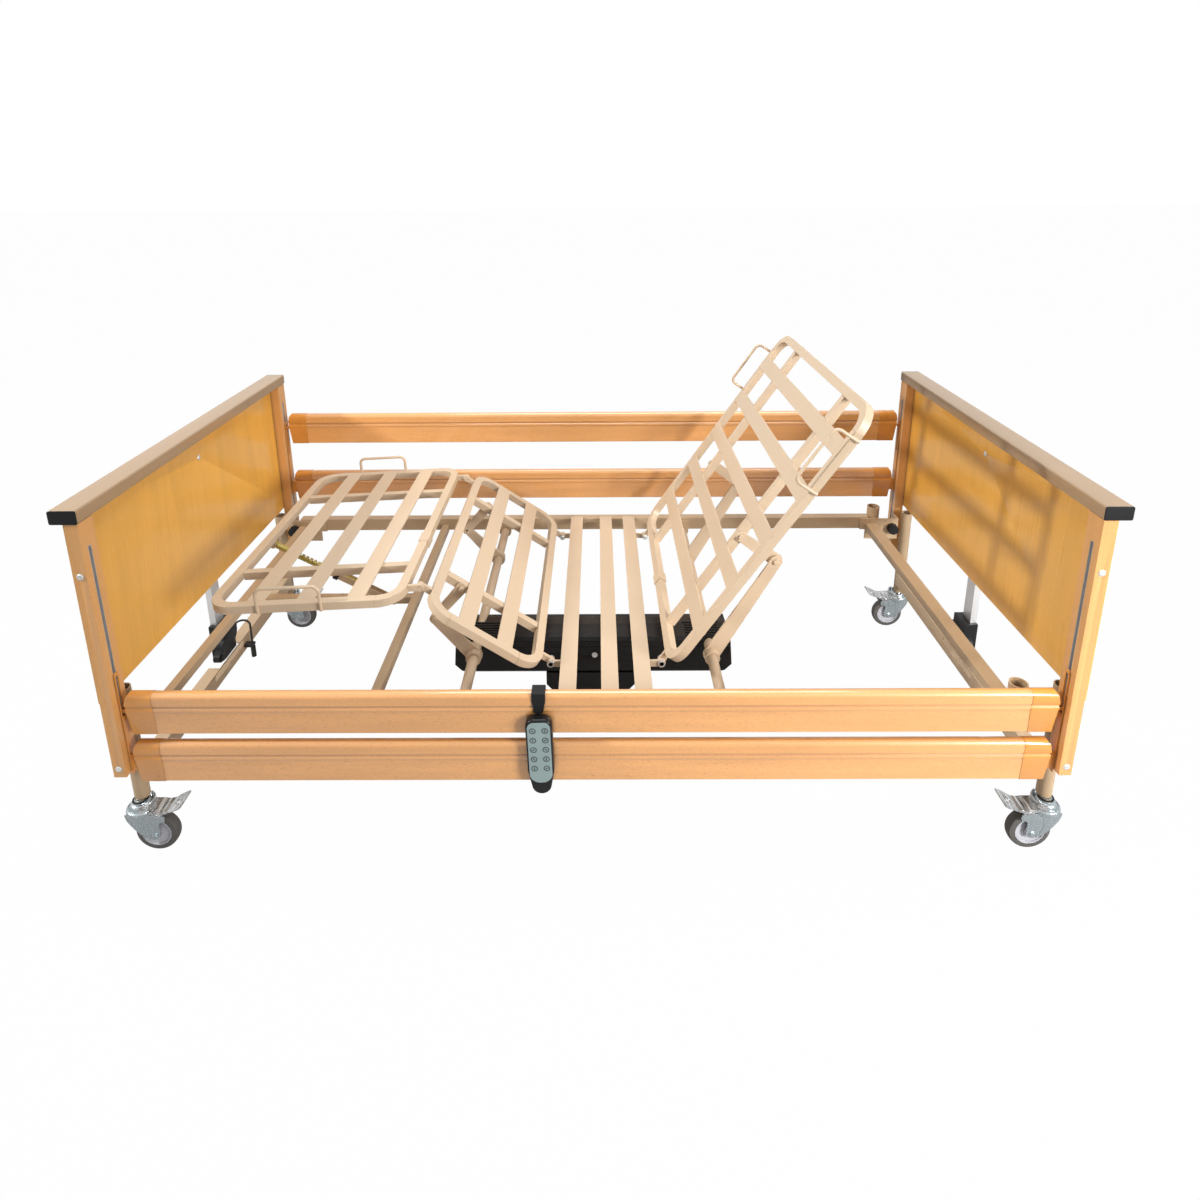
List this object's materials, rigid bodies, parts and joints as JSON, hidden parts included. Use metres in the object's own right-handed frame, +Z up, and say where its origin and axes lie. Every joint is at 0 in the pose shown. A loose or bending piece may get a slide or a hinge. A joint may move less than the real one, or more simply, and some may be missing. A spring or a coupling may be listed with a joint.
{
  "type": "adjustable hospital bed",
  "caption": "Powered care bed with a profiling slatted steel deck, wooden head and foot boards, sliding wooden side rails, lifting end bases on braked castors and a hand control.",
  "frame": {"origin": "on the floor, at the middle of the overall length and width", "axes": "+X towards the head end, +Y across the bed to the side whose rails are raised, +Z up"},
  "size_m": [2.1936, 1.0504, 1.072],
  "materials": {
    "cream_steel": "satin powder coat",
    "deck_steel": "satin powder coat",
    "beech": "satin lacquer",
    "rail_wood": "satin lacquer",
    "board_wood": "satin laminate",
    "cap_wood": "satin lacquer",
    "end_cap_plastic": "matte",
    "black_plastic": "matte",
    "motor_plastic": "fine texture",
    "channel_aluminium": "mill",
    "column_aluminium": "anodised",
    "zinc": "zinc plated",
    "pedal_steel": "satin",
    "tyre_rubber": "matte",
    "hub_plastic": "matte",
    "yellow_zinc": "yellow zinc plated",
    "lead_rubber": "satin",
    "handset_film": "satin"
  },
  "bodies": {
    "bed_frame": {"main_frame": "cream_steel", "seat_deck": "deck_steel", "corner_plates": "cream_steel", "hand_screws": "black_plastic", "pole_sockets": "cream_steel", "head_board": "board_wood", "foot_board": "board_wood", "posts": "beech", "cap_rails": "cap_wood", "cap_plugs": "black_plastic", "slot_channels": "channel_aluminium", "fasteners": "zinc", "motor_case": "motor_plastic", "motor_plug": "zinc", "actuator_rods": "zinc"},
    "head_lift": {"head_base": "cream_steel", "head_actuator": "black_plastic", "head_column": "column_aluminium"},
    "foot_lift": {"foot_base": "cream_steel", "foot_actuator": "black_plastic", "foot_column": "column_aluminium", "foot_cable": "lead_rubber"},
    "castor_nl": {"castor_fork_nl": "zinc", "castor_pedal_nl": "pedal_steel"},
    "wheel_nl": {"castor_tyre_nl": "tyre_rubber", "castor_hub_nl": "hub_plastic"},
    "castor_nr": {"castor_fork_nr": "zinc", "castor_pedal_nr": "pedal_steel"},
    "wheel_nr": {"castor_tyre_nr": "tyre_rubber", "castor_hub_nr": "hub_plastic"},
    "castor_fl": {"castor_fork_fl": "zinc", "castor_pedal_fl": "pedal_steel"},
    "wheel_fl": {"castor_tyre_fl": "tyre_rubber", "castor_hub_fl": "hub_plastic"},
    "castor_fr": {"castor_fork_fr": "zinc", "castor_pedal_fr": "pedal_steel"},
    "wheel_fr": {"castor_tyre_fr": "tyre_rubber", "castor_hub_fr": "hub_plastic"},
    "near_upper": {"near_upper_rail": "rail_wood", "near_upper_caps": "end_cap_plastic"},
    "near_lower": {"near_lower_rail": "rail_wood", "near_lower_caps": "end_cap_plastic"},
    "far_upper": {"far_upper_rail": "rail_wood", "far_upper_caps": "end_cap_plastic"},
    "far_lower": {"far_lower_rail": "rail_wood", "far_lower_caps": "end_cap_plastic"},
    "backrest": {"back_frame": "deck_steel"},
    "thigh_rest": {"thigh_frame": "deck_steel"},
    "calf_rest": {"calf_frame": "deck_steel"},
    "back_levers": {"back_crank": "deck_steel"},
    "back_link_pair": {"back_links": "deck_steel"},
    "thigh_levers": {"thigh_crank": "deck_steel"},
    "thigh_link_pair": {"thigh_links": "deck_steel"},
    "stay_channel": {"stay_outer": "cream_steel", "stay_clip": "black_plastic"},
    "stay_bar": {"stay_inner": "yellow_zinc"},
    "handset": {"handset_case": "black_plastic", "handset_keys": "handset_film", "handset_hook": "black_plastic"}
  },
  "joints": [
    {"name": "head_lift_slide", "type": "slide", "parent": "bed_frame", "child": "head_lift", "axis": [0, 0, -1], "range_m": [0, 0.36]},
    {"name": "foot_lift_slide", "type": "slide", "parent": "bed_frame", "child": "foot_lift", "axis": [0, 0, -1], "range_m": [0, 0.36]},
    {"name": "swivel_nl", "type": "hinge", "parent": "foot_lift", "child": "castor_nl", "pos_m": [-1.0638, -0.44425, 0.14], "axis": [0, 0, 1], "continuous": true},
    {"name": "roll_nl", "type": "hinge", "parent": "castor_nl", "child": "wheel_nl", "pos_m": [-1.0328, -0.44425, 0.05], "axis": [0, 1, 0], "continuous": true},
    {"name": "swivel_nr", "type": "hinge", "parent": "head_lift", "child": "castor_nr", "pos_m": [1.0638, -0.44425, 0.14], "axis": [0, 0, 1], "continuous": true},
    {"name": "roll_nr", "type": "hinge", "parent": "castor_nr", "child": "wheel_nr", "pos_m": [1.0328, -0.44425, 0.05], "axis": [0, 1, 0], "continuous": true},
    {"name": "swivel_fl", "type": "hinge", "parent": "foot_lift", "child": "castor_fl", "pos_m": [-1.0638, 0.45375, 0.14], "axis": [0, 0, 1], "continuous": true},
    {"name": "roll_fl", "type": "hinge", "parent": "castor_fl", "child": "wheel_fl", "pos_m": [-1.0328, 0.45375, 0.05], "axis": [0, 1, 0], "continuous": true},
    {"name": "swivel_fr", "type": "hinge", "parent": "head_lift", "child": "castor_fr", "pos_m": [1.0638, 0.45375, 0.14], "axis": [0, 0, 1], "continuous": true},
    {"name": "roll_fr", "type": "hinge", "parent": "castor_fr", "child": "wheel_fr", "pos_m": [1.0328, 0.45375, 0.05], "axis": [0, 1, 0], "continuous": true},
    {"name": "near_upper_lift", "type": "slide", "parent": "bed_frame", "child": "near_upper", "axis": [0, 0, 1], "range_m": [0, 0.314]},
    {"name": "near_lower_lift", "type": "slide", "parent": "bed_frame", "child": "near_lower", "axis": [0, 0, 1], "range_m": [0, 0.2355]},
    {"name": "far_upper_lift", "type": "slide", "parent": "bed_frame", "child": "far_upper", "axis": [0, 0, 1], "range_m": [-0.314, 0]},
    {"name": "far_lower_lift", "type": "slide", "parent": "bed_frame", "child": "far_lower", "axis": [0, 0, 1], "range_m": [-0.2355, 0]},
    {"name": "backrest_hinge", "type": "hinge", "parent": "bed_frame", "child": "backrest", "pos_m": [0.17, 0.00475, 0.414], "axis": [0, -1, 0], "range_deg": [-56, 10]},
    {"name": "thigh_hinge", "type": "hinge", "parent": "bed_frame", "child": "thigh_rest", "pos_m": [-0.097, 0.00475, 0.414], "axis": [0, 1, 0], "range_deg": [-34, 0]},
    {"name": "knee_hinge", "type": "hinge", "parent": "thigh_rest", "child": "calf_rest", "pos_m": [-0.40043, 0.00475, 0.61867], "axis": [0, 1, 0], "range_deg": [0, 36.9]},
    {"name": "back_lever_turn", "type": "hinge", "parent": "bed_frame", "child": "back_levers", "pos_m": [0.304, 0.00475, 0.376], "axis": [0, -1, 0], "range_deg": [-64.3, 11.6]},
    {"name": "back_link_turn", "type": "hinge", "parent": "backrest", "child": "back_link_pair", "pos_m": [0.36707, 0.00475, 0.69722], "axis": [0, -1, 0], "range_deg": [-10.9, 60.6]},
    {"name": "thigh_lever_turn", "type": "hinge", "parent": "bed_frame", "child": "thigh_levers", "pos_m": [-0.297, 0.00475, 0.376], "axis": [0, 1, 0], "range_deg": [-65.4, 0]},
    {"name": "thigh_link_turn", "type": "hinge", "parent": "thigh_rest", "child": "thigh_link_pair", "pos_m": [-0.32198, 0.00475, 0.55972], "axis": [0, 1, 0], "range_deg": [0, 36.6]},
    {"name": "stay_turn", "type": "hinge", "parent": "bed_frame", "child": "stay_channel", "pos_m": [-0.567, -0.02125, 0.403], "axis": [0, 1, 0], "range_deg": [-31, 0]},
    {"name": "stay_slide", "type": "slide", "parent": "stay_channel", "child": "stay_bar", "axis": [-0.8726, 0, 0.4884], "range_m": [0, 0.02]},
    {"name": "handset_slide", "type": "slide", "parent": "near_upper", "child": "handset", "axis": [1, 0, 0], "range_m": [-0.3, 0.3]}
  ],
  "couplings": [
    {"joint": "near_lower_lift", "follows": "near_upper_lift", "ratio": 0.75},
    {"joint": "far_lower_lift", "follows": "far_upper_lift", "ratio": 0.75},
    {"joint": "knee_hinge", "follows": "thigh_hinge", "ratio": -1.0823},
    {"joint": "back_lever_turn", "follows": "backrest_hinge", "ratio": 1.146},
    {"joint": "back_link_turn", "follows": "backrest_hinge", "ratio": -1.08},
    {"joint": "thigh_lever_turn", "follows": "thigh_hinge", "ratio": 1.92},
    {"joint": "thigh_link_turn", "follows": "thigh_hinge", "ratio": -1.0747},
    {"joint": "stay_turn", "follows": "thigh_hinge", "ratio": 0.91007},
    {"joint": "stay_slide", "follows": "thigh_hinge", "m_per_rad": -0.033511}
  ]
}
